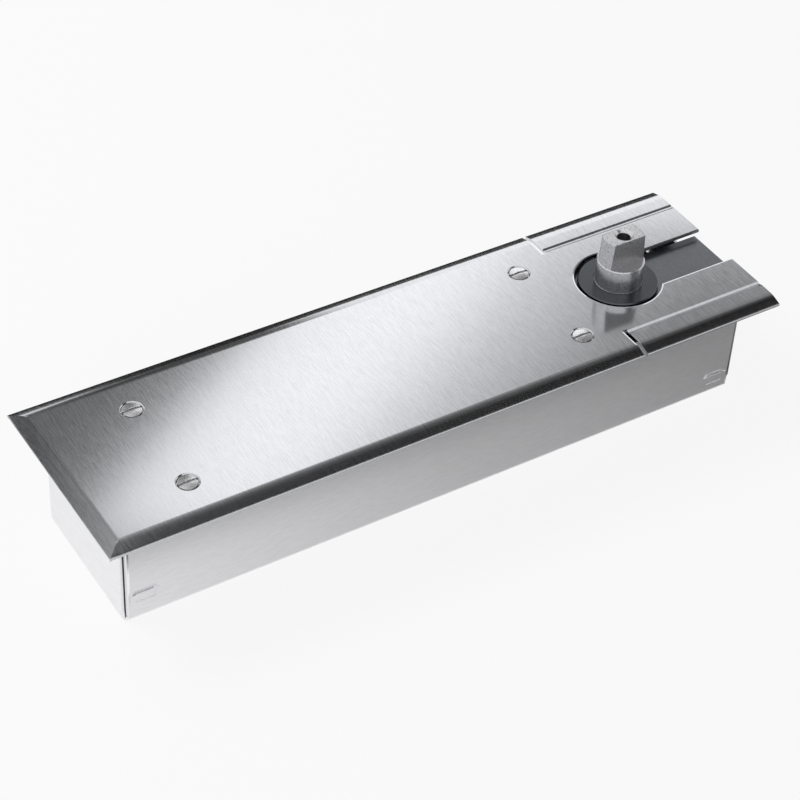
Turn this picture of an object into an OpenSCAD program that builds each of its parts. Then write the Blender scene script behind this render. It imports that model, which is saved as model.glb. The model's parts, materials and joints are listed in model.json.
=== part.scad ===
// Floor-concealed door closer in its cement box, spindle up.
// The origin is on the spindle axis, at the underside of the box. +X runs to the slotted end of the
// cover, +Y to the back and +Z up. The spindle is drawn in its door-closed position.

/* [Cement box] */
// Length of the cement box
box_l = 341; // [330:1:350]
// Width of the cement box
box_w = 78; // [77:1:90]
// Height of the cement box
box_h = 54.5; // [53:0.5:60]
// Sheet thickness of the cement box
box_t = 1.5; // [1:0.1:1.8]
// Distance from the spindle axis to the box end beside it
box_end = 49.5; // [49:0.5:56]
// Width of the open seam at each upright corner
seam_gap = 0.8; // [0.4:0.1:1.4]
// Length of the flap behind each seam
flap_l = 24; // [22:1:28]
// Height of the unslit stretch under each seam
seam_foot = 3; // [2.5:0.5:6]
// Length of each clinch slit in the long walls
clinch_l = 14.5; // [12:0.5:16]
// Depth that a clinch is pressed in
clinch_d = 1; // [0.5:0.1:1.4]
// Height of the clinch slits at the far end
clinch_far_z = 15.6; // [12:0.2:18]
// Height of the clinch slits at the spindle end
clinch_near_z = 11.4; // [10:0.2:16]

/* [Cover plate] */
// Length of the cover plate
cover_l = 363; // [356:1:370]
// Width of the cover plate
cover_w = 105; // [98:1:115]
// Sheet thickness of the cover plate
cover_t = 1.5; // [1.2:0.1:2]
// Overhang of the cover plate past the box end beside the spindle
cover_over = 10.8; // [8:0.2:14]
// Height of the cover's underside above the box rim
cover_gap = 4; // [3.5:0.5:6]
// Width of the sloping edge
bevel_w = 6; // [4:0.5:8]
// Drop of the sloping edge
bevel_drop = 2; // [1:0.25:3]
// Radius of the round opening at the spindle
opening_r = 21.8; // [21.2:0.2:24]
// Width of the slot from the round opening to the end
slot_w = 26.8; // [20:0.2:28]
// Width of the strips that the grooves let a fitter snap off
strip_w = 16.3; // [12:0.1:18]
// Distance from the spindle axis to the slits where the strips begin
strip_start = 20.7; // [16:0.1:26]
// Width of the slits
slit_w = 2; // [1:0.25:3]
// Width of the snap-off grooves
groove_w = 3.2; // [2:0.2:4]
// Depth of the snap-off grooves
groove_d = 0.5; // [0.2:0.1:0.8]

/* [Cover screws] */
// Distance from the spindle axis to the nearer pair of cover screws
screw_near = 40.7; // [40:0.1:44]
// Distance from the far box end to the farther pair of cover screws
screw_far = 39.1; // [34:0.1:46]
// Spacing of the cover screws across the plate
screw_pitch_w = 54.6; // [53.6:0.2:60]
// Shank radius of the cover screws
screw_r = 2.5; // [2:0.1:3]
// Head radius of the cover screws
screw_head_r = 4.75; // [4:0.05:5.5]
// Length of the cover screws under their rim
screw_l = 8; // [7:0.5:10]
// Rise of the domed screw head over its rim
screw_dome = 0.7; // [0.3:0.1:1]
// Radius of the dimple round each cover screw
dimple_r = 7.2; // [6.2:0.1:9]
// Depth of the dimple round each cover screw
dimple_d = 0.5; // [0.2:0.1:0.7]

/* [Slot plate] */
// Sheet thickness of the slot plate
slot_plate_t = 1.5; // [1:0.1:2.5]
// Width of the slot plate's tongue
slot_plate_w = 28.6; // [24:0.2:32]
// Width of the ring round the collar
slot_ring_w = 6.8; // [6.2:0.2:7.6]
// Distance that the tongue stays short of the cover's end
slot_short = 1.6; // [0:0.2:3]

/* [Spindle] */
// Radius of the round neck
neck_r = 11.8; // [11:0.1:12.4]
// Height of the neck above the cover plate
neck_rise = 12.7; // [6:0.1:20]
// Height of the flat conical head
head_h = 14.5; // [10:0.1:20]
// Radius of the head's cone at the neck
head_r1 = 11.2; // [10.6:0.1:11.8]
// Radius of the head's cone at the top
head_r2 = 10.5; // [9.8:0.1:10.5]
// Width across the two flats of the head
head_flats = 10.6; // [9.8:0.1:14]
// Wall radius of the threaded hole in the head
tap_r = 3.4; // [2.5:0.1:4]
// Depth of the threaded hole
tap_depth = 20; // [14:1:24]
// Radius of the countersink at the hole's mouth
tap_sink_r = 4.8; // [4.3:0.1:5]
// Radius of the shaft in the cam
shaft_r = 9; // [8.8:0.1:9.4]
// Radius of the lower journal
journal_r = 8; // [7.5:0.1:8.3]

/* [Cam drive] */
// Travel of the piston for each radian that the spindle turns
piston_lead = 6; // [4:0.5:6.5]
// Distance from the spindle axis to the roller's axis with the door closed
roller_rest = 18; // [17.8:0.1:18.6]
// Radius of the pressure roller
roller_r = 7; // [6.5:0.1:7.2]
// Width of the pressure roller and thickness of the cam
roller_w = 8; // [6:0.5:8]
// Radius of the roller's axle
axle_r = 3.5; // [2.5:0.1:4]
// Thickness of each cheek of the piston's fork
cheek_t = 5; // [4:0.25:5.25]
// Largest door angle at which the cam still rises
cam_rise = 135; // [131:1:140]

/* [Piston and spring] */
// Radius of the piston
piston_r = 15.45; // [15:0.05:15.8]
// Length of the piston's barrel
piston_l = 30; // [26:1:36]
// Room between the closer's lug and the far end of the box
end_room = 29.5; // [20:0.5:40]
// Radius of the closing spring's wire
wire_r = 2.4; // [1.8:0.1:2.6]
// Mean radius of the closing spring
coil_r = 11.5; // [11.2:0.1:12.4]
// Number of turns of the closing spring
coil_turns = 12; // [9:1:14]
// Thickness of the spring plate
spring_plate_t = 6; // [4:0.5:8]
// Length of the end plug
plug_l = 20; // [16:1:24]
// Radius of the end plug
plug_r = 17.5; // [16.8:0.1:18]
// Radius of the force adjusting screw
force_screw_r = 6; // [5:0.25:7]
// Room between the spring plate and the end plug
force_room = 22; // [20:1:24]

/* [Housing] */
// Height of the housing's underside above the box floor
floor_gap = 4.5; // [3:0.5:8]
// Radius of the tower round the spindle
tower_r = 34.5; // [34:0.1:35]
// Width of the barrel that holds piston and spring
barrel_w = 48; // [46:1:54]
// Edge radius of the barrel
barrel_round = 12; // [6:1:14]
// Width of the housing's foot
foot_w = 69; // [67:1:70]
// Height of the foot and of the fixing lugs
foot_h = 12; // [10:1:14]
// Thickness of the bearing cap's flange
cap_t = 3.5; // [3:0.25:4]
// Radius of the bearing cap's collar
collar_r = 19.8; // [19:0.1:20.4]
// Depth of the collar's top under the top of the cover plate
collar_low = 0.2; // [0:0.1:1.5]
// Radius of the upper bearing and of the shaft seal
bearing_r = 16; // [14.5:0.25:16.5]
// Height of the upper bearing
bearing_h = 7.5; // [5:0.5:8]
// Distance from the spindle axis to the two regulating valves
valve_x = 66; // [62:1:90]
// Radius of the regulating valves
valve_r = 4; // [3.5:0.1:4]
// Depth of the bores for the regulating valves
valve_depth = 16; // [15:0.5:17]
// Shank radius of the levelling screws
level_r = 4; // [3:0.25:4]
// Shank radius of the clamping screws
clamp_r = 3; // [2.5:0.25:3]

/* [Hidden] */
$fn = 64;

// Radial running clearance of what turns or slides
run_fit = 0.05;
// Clearance of what is pressed or screwed in
seat_fit = 0.02;
// Clearance of loosely placed pieces
loose = 0.3;
// Margin by which a cut runs past the face that it opens
cut = 1;
// Overlap of two shapes that make one piece
lap = 0.01;

// Box and cover
box_x1 = box_end;
box_x0 = box_end - box_l;
inner_w = box_w - 2 * box_t;
fold_r = box_t;
flap_low = 0.5;
cover_x1 = box_end + cover_over;
cover_x0 = cover_x1 - cover_l;
cover_z0 = box_h + cover_gap;
cover_z1 = cover_z0 + cover_t;
strip_y = cover_w / 2 - strip_w;
bar_spots = [-screw_near, box_x0 + screw_far];
screw_spots = [for (x = bar_spots, y = [-1, 1]) [x, y * screw_pitch_w / 2]];
rim_z = cover_z1 - dimple_d;
bar_w = 14;
bar_t = 3;
bar_leg = 14;
bar_z0 = cover_z0 - bar_t;
screw_slot_w = 1.2;
screw_slot_d = 0.7;
nut_rim = 2;
nut_r = screw_r + nut_rim;
nut_h = 2.5;

// Clinches of the box walls: distance from the wall's end, rise of the pressed sheet above the
// slit with its flat and its run-outs, then drop, height and depth of the coined rectangle below it
clinch_inset = 4;
clinch_rise = 4;
clinch_flat = 0.8;
clinch_run = 3;
coin_drop = 1.6;
coin_h = 3.2;
coin_l = 9.6;
coin_d = 0.3;

// Cast housing, between the box floor and the cap flange that is level with the box rim
housing_z1 = box_h - cap_t;
housing_z0 = box_t + floor_gap;
mid_z = (housing_z0 + housing_z1) / 2;
foot_z1 = housing_z0 + foot_h;
foot_round = 8;
foot_rim = 4.5;
foot_cut_back = 5;
tongue_round = 2;
level_gap = 1.1;
level_rim = 2;
level_y = foot_w / 2 - level_r - level_rim;
level_x = sqrt(pow(tower_r + level_r + level_gap, 2) - pow(level_y, 2));
foot_x1 = level_x + level_r + foot_rim;
foot_x0 = -foot_x1 + foot_cut_back;

// Cam: the roller's path is a spiral that rises evenly with the angle, and the cam's edge runs a
// roller radius inside it
cam_gap = 0.1;
cam_cut_r = roller_r + cam_gap;
cam_step = 5;
max_lift = piston_lead * cam_rise * PI / 180;
cam_max_r = norm(cam_edge(cam_rise));
cam_z0 = mid_z - roller_w / 2;
cam_z1 = mid_z + roller_w / 2;
chamber_gap = 0.9;
chamber_r = cam_max_r + chamber_gap;
cheek_z = roller_w / 2 + loose;
chamber_low = 1.7;
chamber_z0 = mid_z - cheek_z - cheek_t - chamber_low;
cap_screw_r = 2;
cap_screw_head_r = 3.8;
cap_screw_l = 12;
cap_socket_r = 1.4;
cap_socket_l = 1.6;
cap_screw_pitch_r = (tower_r + chamber_r) / 2;
cap_screw_spots = [for (a = [45 : 90 : 315]) cap_screw_pitch_r * [cos(a), sin(a)]];

// Piston, spring and plug, all on the barrel's axis. The piston is measured from the spindle, the
// plug from the far box end, and the spring fills the length between them
bore_r = piston_r + run_fit;
fork_gap = 2;
piston_x1 = -(roller_rest + roller_r + fork_gap);
piston_x0 = piston_x1 - piston_l;
lug_l = 24;
lug_x0 = box_x0 + end_room;
plug_x0 = lug_x0 + lug_l;
plug_x1 = plug_x0 + plug_l;
spring_plate_x0 = plug_x1 + force_room;
spring_x0 = spring_plate_x0 + spring_plate_t;
plug_seal_gap = 4;
plug_seal_x = plug_x1 - plug_seal_gap;
piston_seal_gap = 9;
piston_seal_x = piston_x0 + piston_seal_gap;
spigot_gap = 0.8;
spigot_r = coil_r - wire_r - spigot_gap;
spigot_l = 6;
coil_gap = 0.2;
cheek_low = 1;
cheek_round = roller_r - cheek_low;
force_screw_inset = 2;
force_screw_x0 = plug_x0 + force_screw_inset;
force_socket_r = 3.5;
force_socket_l = 6;
pin_hole_r = 1.75;
pin_hole_l = 5;

// Check valve in the piston
check_hole_r = 1.5;
check_r = 3.2;
ball_r = 2.6;
check_step = 13;
check_step_x = piston_x1 - check_step;
ball_x = check_step_x - sqrt(ball_r * ball_r - check_hole_r * check_hole_r) - run_fit;
check_screw_l = 5;
check_screw_gap = 10;
check_bleed_r = 1.2;
check_screw_x1 = check_step_x - check_screw_gap;

// Spindle, from its foot up
lower_bearing_h = 6.5;
journal_z0 = chamber_z0 - lower_bearing_h;
thrust_t = 1.4;
thrust_rim = 3;
shoulder_z = chamber_z0 + thrust_t + 2 * run_fit;
shaft_step = 1.2;
upper_shaft_r = shaft_r + shaft_step;
neck_gap = 3.2;
neck_z0 = mid_z + cheek_z + cheek_t + neck_gap;
neck_relief = 0.2;
neck_journal_r = neck_r + neck_relief;
neck_z1 = cover_z1 + neck_rise;
head_z1 = neck_z1 + head_h;
neck_chamfer = 0.4;
key_w = 5;
key_h = 5;
ring_t = 1.2;
ring_groove = 0.7;
ring_rim = 1.6;
ring_mouth = 4;

// Bearing cap
spigot_h = 5;
collar_z1 = cover_z1 - collar_low;
collar_top_t = 2;
bearing_z0 = housing_z1 - spigot_h;
bearing_z1 = bearing_z0 + bearing_h;
cap_seal_z = (bearing_z0 + housing_z1) / 2;
collar_chamfer = 0.5;
lower_bearing_t = 3.5;
lower_bearing_r = journal_r + lower_bearing_t;
seal_r = 1;

// Slot plate
slot_plate_z1 = box_h + slot_plate_t;
slot_ring_r = collar_r + loose;
slot_screw_r = 1.5;
slot_screw_head_r = 2.7;
slot_screw_short = 0.4;
slot_screw_l = slot_plate_t + cap_t - slot_screw_short;
slot_screw_y = slot_ring_r + slot_ring_w / 2;

// Fixing lugs and their screws
gusset_t = 4;
gusset_gap = 0.8;
gusset_rise = 8;
gusset_reach = 4;
tongue_w = 20;
tongue_gap = 0.5;
tongue_x1 = box_end - box_t - tongue_gap;
clamp_head_rim = 2;
clamp_head_r = clamp_r + clamp_head_rim;
clamp_head_h = 5;
clamp_socket_r = 2.4;
clamp_socket_l = 3;
washer_t = 1.2;
washer_rim = 0.2;
clamp_gap = 0.4;
clamp_inset = 9;
clamp_near_x = tongue_x1 - clamp_head_r - clamp_gap;
clamp_far_x = lug_x0 + clamp_inset;
clamp_spots = [clamp_near_x, clamp_far_x];
rivet_rim = 2.5;
rivet_r = clamp_r + rivet_rim;
rivet_h = floor_gap - loose;
level_far_x = lug_x0 + lug_l / 2;
level_spots = [for (x = [level_x, level_far_x], y = [-level_y, level_y]) [x, y]];
level_rise = 3;
level_socket_r = 2;
level_socket_l = 4;
level_top = foot_z1 + level_rise;

// Regulating valves, one in each side of the barrel
valve_inset = 3.5;
valve_boss_t = 3;
valve_boss_foot = 8;
valve_sunk = 1.2;
valve_y = barrel_w / 2 - valve_inset;
valve_boss_r = valve_r + valve_boss_t;
valve_floor_z = housing_z1 - valve_depth;
valve_foot_z = valve_floor_z + loose;
valve_top_z = housing_z1 - valve_sunk;
needle_r = 1.4;
needle_l = 4;
needle_gap = 0.1;
needle_room = 2;
valve_slot_w = 1.2;
valve_slot_h = 1.8;
valve_groove_rise = 6;
valve_groove_h = 2;
valve_groove_d = 1;
valve_groove_z = valve_floor_z + valve_groove_rise;
valve_groove_r = valve_r - valve_groove_d;
port_r = 1.5;
port_rise = 2;

filler_x = -130;
filler_r = 3;
filler_socket_r = 1.5;
filler_socket_l = 2.5;

// Distance of the roller's axis from the spindle at door angle a
function path_r(a) = roller_rest + piston_lead * a * PI / 180;

// Unit normal of the roller's path at angle a, towards the spindle
function path_normal(a) =
    let (
        r = path_r(a),
        t = [piston_lead * cos(a) - r * sin(a), piston_lead * sin(a) + r * cos(a)]
    )
    [-t[1], t[0]] / norm(t);

// Point of the cam's edge that carries the roller at angle a
function cam_edge(a) = path_r(a) * [cos(a), sin(a)] + cam_cut_r * path_normal(a);

function mirrored(points) = [for (i = [len(points) - 1 : -1 : 0]) [points[i][0], -points[i][1]]];

// Extrudes an outline of (y, z) from x0 to x1
module along_x(x0, x1) {
    translate([x0, 0, 0]) rotate([90, 0, 90]) linear_extrude(x1 - x0) children();
}

// Extrudes an outline of (x, z) from y0 to y1
module along_y(y0, y1) {
    translate([0, y1, 0]) rotate([90, 0, 0]) linear_extrude(y1 - y0) children();
}

// Extrudes an outline of (x, y) from z0 to z1
module along_z(z0, z1) {
    translate([0, 0, z0]) linear_extrude(z1 - z0) children();
}

// Round bar along X
module rod_x(r, x0, x1, y = 0, z = mid_z) {
    translate([x0, y, z]) rotate([0, 90, 0]) cylinder(r = r, h = x1 - x0);
}

// Upright round bar
module rod_z(r, z0, z1, x = 0, y = 0) {
    translate([x, y, z0]) cylinder(r = r, h = z1 - z0);
}

// Upright tube
module tube_z(r_in, r_out, z0, z1, x = 0, y = 0) {
    difference() {
        rod_z(r_out, z0, z1, x, y);
        rod_z(r_in, z0 - cut, z1 + cut, x, y);
    }
}

// Tube along X
module tube_x(r_in, r_out, x0, x1) {
    difference() {
        rod_x(r_out, x0, x1);
        rod_x(r_in, x0 - cut, x1 + cut);
    }
}

// Rectangle from x0 to x1 and y0 to y1 with round corners
module round_rect(x0, x1, y0, y1, r) {
    translate([x0 + r, y0]) square([x1 - x0 - 2 * r, y1 - y0]);
    translate([x0, y0 + r]) square([x1 - x0, y1 - y0 - 2 * r]);
    for (x = [x0 + r, x1 - r], y = [y0 + r, y1 - r]) translate([x, y]) circle(r = r);
}

// Countersunk screw with its rim at z, shank downwards
module countersunk(r, head_r, l, x, y, z) {
    rod_z(r, z - l, z, x, y);
    translate([x, y, z - (head_r - r)]) cylinder(r1 = r, r2 = head_r, h = head_r - r);
}

// Ring of round section in an upright bore
module o_ring(mean_r, section_r, z) {
    translate([0, 0, z]) rotate_extrude() translate([mean_r, 0]) circle(r = section_r, $fn = 24);
}

// Outline of one long wall seen from above, with its two ends folded round
module long_wall_plan() {
    y0 = -box_w / 2;
    end = 2 * fold_r + seam_gap;
    translate([box_x0 + end, y0]) square([box_l - 2 * end, box_t]);
    for (x = [box_x0 + end, box_x1 - end])
        intersection() {
            translate([x, y0 + fold_r]) circle(r = fold_r);
            translate([x - fold_r, y0]) square([2 * fold_r, fold_r]);
        }
}

// Outline of one end wall seen from above, with its two ends folded round
module end_wall_plan() {
    edge = box_w / 2 - 2 * fold_r;
    translate([-box_l / 2, -edge]) square([box_t, 2 * edge]);
    for (s = [-1, 1])
        intersection() {
            translate([-box_l / 2 + fold_r, s * edge]) circle(r = fold_r);
            translate([-box_l / 2, -edge - fold_r]) square([fold_r, 2 * (edge + fold_r)]);
        }
}

// Outline of one flap seen from above, which lies behind the long wall
module flap_plan() {
    translate([-box_l / 2 + fold_r, box_w / 2 - 2 * fold_r]) square([flap_l, box_t]);
}

// Outline of the box of width w seen along a wall, with bent bottom edges
module box_outline(w) {
    intersection() {
        round_rect(-w / 2, w / 2, 0, box_h + 2 * fold_r, 2 * fold_r);
        translate([-w / 2, 0]) square([w, box_h]);
    }
}

// Pressed hollow of one clinch: it is deepest at the slit and runs out above it and at both ends
module clinch_hollow(slit_z) {
    half = clinch_l / 2;
    face = -box_w / 2;
    intersection() {
        along_x(-half, half)
            polygon([[face - cut, slit_z], [face + clinch_d, slit_z],
                [face + clinch_d, slit_z + clinch_flat], [face, slit_z + clinch_rise],
                [face - cut, slit_z + clinch_rise]]);
        along_z(slit_z - cut, slit_z + clinch_rise + cut)
            polygon([[-half, face - cut], [-half, face], [-half + clinch_run, face + clinch_d],
                [half - clinch_run, face + clinch_d], [half, face], [half, face - cut]]);
    }
}

// All clinches of the front wall, then mirrored onto the back wall
module at_clinches() {
    for (s = [0, 1])
        mirror([0, s, 0]) {
            translate([box_x0 + clinch_inset + clinch_l / 2, 0, 0]) children(0);
            translate([box_x1 - clinch_inset - clinch_l / 2, 0, 0]) children(1);
        }
}

module coined_mark(slit_z) {
    translate([-coin_l / 2, -box_w / 2 - cut, slit_z - coin_drop - coin_h])
        cube([coin_l, cut + coin_d, coin_h]);
}

// Folded sheet box with open corner seams, inner flaps and clinches
module cement_box() {
    middle = (box_x0 + box_x1) / 2;
    color("gainsboro") difference() {
        intersection() {
            along_x(box_x0, box_x1) box_outline(box_w);
            translate([middle, 0, 0]) along_y(-box_w / 2, box_w / 2) box_outline(box_l);
            union() {
                difference() {
                    translate([box_x0, -box_w / 2, 0]) cube([box_l, box_w, seam_foot]);
                    translate([box_x0 + box_t, -box_w / 2 + box_t, box_t])
                        cube([box_l - 2 * box_t, box_w - 2 * box_t, seam_foot]);
                }
                along_z(seam_foot, box_h) for (s = [0, 1]) mirror([0, s]) long_wall_plan();
                along_z(seam_foot, box_h)
                    translate([middle, 0]) for (s = [0, 1]) mirror([s, 0]) end_wall_plan();
                along_z(seam_foot - flap_low, box_h) translate([middle, 0])
                    for (s = [0, 1], t = [0, 1]) mirror([s, 0]) mirror([0, t]) flap_plan();
            }
        }
        at_clinches() {
            union() {
                clinch_hollow(clinch_far_z);
                coined_mark(clinch_far_z);
            }
            union() {
                clinch_hollow(clinch_near_z);
                coined_mark(clinch_near_z);
            }
        }
        for (x = clamp_spots) rod_z(clamp_r + seat_fit, -cut, box_t + cut, x, 0);
    }
}

// Two bars that are welded between the long walls and carry the cover
module cover_bars() {
    color("silver") difference() {
        union() {
            for (x = bar_spots) {
                along_x(x - bar_w / 2, x + bar_w / 2) difference() {
                    round_rect(-inner_w / 2, inner_w / 2, bar_z0 - 2 * bar_leg, cover_z0, bar_t);
                    translate([-inner_w / 2 + bar_t, bar_z0 - 2 * bar_leg - cut])
                        square([inner_w - 2 * bar_t, 2 * bar_leg + cut]);
                    translate([-inner_w / 2 - cut, bar_z0 - 2 * bar_leg - cut])
                        square([inner_w + 2 * cut, bar_leg + cut]);
                }
            }
            for (p = screw_spots) rod_z(nut_r, bar_z0 - nut_h, bar_z0, p[0], p[1]);
        }
        for (p = screw_spots) {
            rod_z(screw_r + seat_fit, bar_z0 - nut_h - cut, cover_z0 + cut, p[0], p[1]);
            translate([p[0], p[1], rim_z - (screw_head_r - screw_r)])
                cylinder(r1 = screw_r + seat_fit, r2 = screw_head_r + seat_fit,
                    h = screw_head_r - screw_r);
        }
    }
}

// Nuts riveted into the box floor for the clamping screws
module rivet_nuts() {
    color("silver") for (x = clamp_spots)
        tube_z(clamp_r + seat_fit, rivet_r, box_t, box_t + rivet_h, x, 0);
}

// Solid under the cover's top face, lowered by z, which slopes down at three of its edges
module cover_form(z) {
    low = cover_z0 - bevel_drop - z - cut;
    intersection() {
        along_x(cover_x0, cover_x1)
            polygon([[-cover_w / 2, low], [-cover_w / 2, cover_z1 - bevel_drop - z],
                [-cover_w / 2 + bevel_w, cover_z1 - z], [cover_w / 2 - bevel_w, cover_z1 - z],
                [cover_w / 2, cover_z1 - bevel_drop - z], [cover_w / 2, low]]);
        along_y(-cover_w / 2, cover_w / 2)
            polygon([[cover_x0, low], [cover_x0, cover_z1 - bevel_drop - z],
                [cover_x0 + bevel_w, cover_z1 - z], [cover_x1, cover_z1 - z], [cover_x1, low]]);
    }
}

module cover_plate() {
    color("lightgray") difference() {
        cover_form(0);
        cover_form(cover_t);
        // Rim trimmed level with the sheet's lower edge
        translate([cover_x0 - cut, -cover_w / 2 - cut, 0])
            cube([cover_l + 2 * cut, cover_w + 2 * cut, cover_z0 - bevel_drop]);
        rod_z(opening_r, cover_z0 - cut, cover_z1 + cut);
        translate([0, -slot_w / 2, cover_z0 - cut]) cube([cover_x1 + cut, slot_w, cover_t + 2 * cut]);
        for (s = [-1, 1]) {
            translate([-strip_start - slit_w / 2, s > 0 ? strip_y - groove_w / 2 : -cover_w / 2 - cut,
                cover_z0 - bevel_drop - cut])
                cube([slit_w, strip_w + groove_w / 2 + cut, cover_t + bevel_drop + 2 * cut]);
            translate([-strip_start, s * strip_y - groove_w / 2, cover_z1 - groove_d])
                cube([cover_x1 + strip_start + cut, groove_w, groove_d + cut]);
        }
        for (p = screw_spots) {
            rod_z(screw_r + loose, cover_z0 - cut, cover_z1 + cut, p[0], p[1]);
            translate([p[0], p[1], rim_z])
                cylinder(r1 = screw_head_r + loose, r2 = dimple_r, h = dimple_d);
            translate([p[0], p[1], rim_z - (screw_head_r - screw_r)])
                cylinder(r1 = screw_r + loose, r2 = screw_head_r + loose, h = screw_head_r - screw_r);
        }
    }
}

// Slotted, domed countersunk screws
module cover_screws() {
    dome_r = (screw_head_r * screw_head_r + screw_dome * screw_dome) / (2 * screw_dome);
    color("whitesmoke") for (p = screw_spots) difference() {
        union() {
            countersunk(screw_r, screw_head_r, screw_l, p[0], p[1], rim_z);
            intersection() {
                translate([p[0], p[1], rim_z + screw_dome - dome_r]) sphere(r = dome_r);
                rod_z(screw_head_r, rim_z - lap, rim_z + 2 * screw_dome, p[0], p[1]);
            }
        }
        translate([p[0] - screw_head_r - cut, p[1] - screw_slot_w / 2, rim_z - screw_slot_d])
            cube([2 * screw_head_r + 2 * cut, screw_slot_w, screw_slot_d + 2 * screw_dome]);
    }
}

// Filler under the cover's slot: a ring round the collar with a tongue to the end
module slot_plate() {
    color("dimgray") difference() {
        union() {
            rod_z(slot_ring_r + slot_ring_w, box_h, slot_plate_z1);
            translate([0, -slot_plate_w / 2, box_h])
                cube([cover_x1 - slot_short, slot_plate_w, slot_plate_t]);
        }
        rod_z(slot_ring_r, box_h - cut, slot_plate_z1 + cut);
        for (s = [-1, 1])
            countersunk(slot_screw_r + seat_fit, slot_screw_head_r + seat_fit, slot_plate_t + cut,
                0, s * slot_screw_y, slot_plate_z1);
    }
}

module slot_plate_screws() {
    color("silver") for (s = [-1, 1])
        countersunk(slot_screw_r, slot_screw_head_r, slot_screw_l, 0, s * slot_screw_y, slot_plate_z1);
}

// Outside of the casting
module housing_form() {
    rod_z(tower_r, housing_z0, housing_z1);
    along_z(housing_z0, foot_z1) {
        round_rect(foot_x0, foot_x1, -foot_w / 2, foot_w / 2, foot_round);
        round_rect(lug_x0, plug_x0 + foot_round, -foot_w / 2, foot_w / 2, foot_round);
        round_rect(0, tongue_x1, -tongue_w / 2, tongue_w / 2, tongue_round);
    }
    along_x(plug_x0, 0)
        round_rect(-barrel_w / 2, barrel_w / 2, housing_z0, housing_z1, barrel_round);
    // Gussets from the barrel's end down to the far lug
    for (s = [-1, 1])
        translate([0, s * (plug_r + gusset_gap + gusset_t / 2), 0]) along_y(-gusset_t / 2, gusset_t / 2)
            polygon([[plug_x0 + cut, foot_z1 - cut], [lug_x0 + gusset_reach, foot_z1 - cut],
                [lug_x0 + gusset_reach, foot_z1 + cut], [plug_x0, mid_z + gusset_rise],
                [plug_x0 + cut, mid_z + gusset_rise]]);
    for (s = [-1, 1])
        rod_z(valve_boss_r, valve_floor_z - valve_boss_foot, housing_z1, -valve_x, s * valve_y);
}

// Cast body with cam chamber, cylinder, bearing seat, valve bores and fixing holes
module housing() {
    color("slategray") difference() {
        housing_form();
        rod_z(chamber_r, chamber_z0, housing_z1 + cut);
        rod_z(lower_bearing_r + run_fit, journal_z0, chamber_z0 + cut);
        rod_x(bore_r, plug_x1 - cut, 0);
        rod_x(plug_r + seat_fit, plug_x0 - cut, plug_x1);
        for (p = cap_screw_spots)
            rod_z(cap_screw_r + seat_fit, box_h - cap_screw_l - cut, housing_z1 + cut, p[0], p[1]);
        for (p = level_spots) rod_z(level_r + seat_fit, housing_z0 - cut, foot_z1 + cut, p[0], p[1]);
        // Clamping slots, open to the ends
        along_z(housing_z0 - cut, foot_z1 + cut) {
            translate([clamp_near_x, 0]) circle(r = clamp_r + loose);
            translate([clamp_near_x, -clamp_r - loose]) square([tongue_x1, 2 * (clamp_r + loose)]);
            translate([clamp_far_x, 0]) circle(r = clamp_r + loose);
            translate([lug_x0 - cut, -clamp_r - loose])
                square([clamp_far_x - lug_x0 + cut, 2 * (clamp_r + loose)]);
        }
        for (s = [-1, 1]) {
            rod_z(valve_r, valve_floor_z, housing_z1 + cut, -valve_x, s * valve_y);
            rod_z(needle_r + needle_gap, valve_floor_z - needle_l - needle_room, valve_floor_z + cut,
                -valve_x, s * valve_y);
            // Oil ports from the cylinder to the valve and to its seat
            for (z = [valve_floor_z + port_rise, valve_floor_z - needle_l])
                translate([-valve_x, 0, z]) rotate([s * -90, 0, 0])
                    cylinder(r = port_r, h = valve_y);
        }
        rod_z(filler_r + seat_fit, mid_z, housing_z1 + cut, filler_x, 0);
    }
}

// Flange, spigot and raised collar that close the chamber and carry the upper bearing
module bearing_cap() {
    color("dimgray") difference() {
        union() {
            rod_z(chamber_r - run_fit, bearing_z0, housing_z1);
            rod_z(tower_r, housing_z1, box_h);
            rod_z(collar_r, box_h, collar_z1 - collar_chamfer);
            translate([0, 0, collar_z1 - collar_chamfer])
                cylinder(r1 = collar_r, r2 = collar_r - collar_chamfer, h = collar_chamfer);
        }
        rod_z(bearing_r + seat_fit, bearing_z0 - cut, collar_z1 - collar_top_t);
        rod_z(neck_journal_r + loose, bearing_z0, collar_z1 + cut);
        difference() {
            rod_z(chamber_r + cut, cap_seal_z - seal_r, cap_seal_z + seal_r);
            rod_z(chamber_r - run_fit - 2 * seal_r, bearing_z0, housing_z1);
        }
        for (p = cap_screw_spots)
            countersunk(cap_screw_r + seat_fit, cap_screw_head_r + seat_fit, cap_t + cut, p[0], p[1],
                box_h);
        for (s = [-1, 1])
            rod_z(slot_screw_r + seat_fit, housing_z1 - cut, box_h + cut, 0, s * slot_screw_y);
    }
}

module cap_seal() {
    color("black") o_ring(chamber_r - run_fit - seal_r + seat_fit, seal_r - seat_fit, cap_seal_z);
}

// Socketed countersunk screws of the bearing cap
module cap_screws() {
    color("silver") for (p = cap_screw_spots) difference() {
        countersunk(cap_screw_r, cap_screw_head_r, cap_screw_l, p[0], p[1], box_h);
        translate([p[0], p[1], box_h - cap_socket_l])
            cylinder(r = cap_socket_r, h = cap_socket_l + cut, $fn = 6);
    }
}

module upper_bearing() {
    color("silver") tube_z(neck_journal_r + run_fit, bearing_r, bearing_z0, bearing_z1);
}

module shaft_seal() {
    color("black") tube_z(neck_journal_r + run_fit, bearing_r, bearing_z1, collar_z1 - collar_top_t);
}

module lower_bearing() {
    color("peru") tube_z(journal_r + run_fit, lower_bearing_r, journal_z0, chamber_z0);
}

module thrust_washer() {
    color("silver")
        tube_z(journal_r + run_fit, shaft_r + thrust_rim, chamber_z0, chamber_z0 + thrust_t);
}

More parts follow.
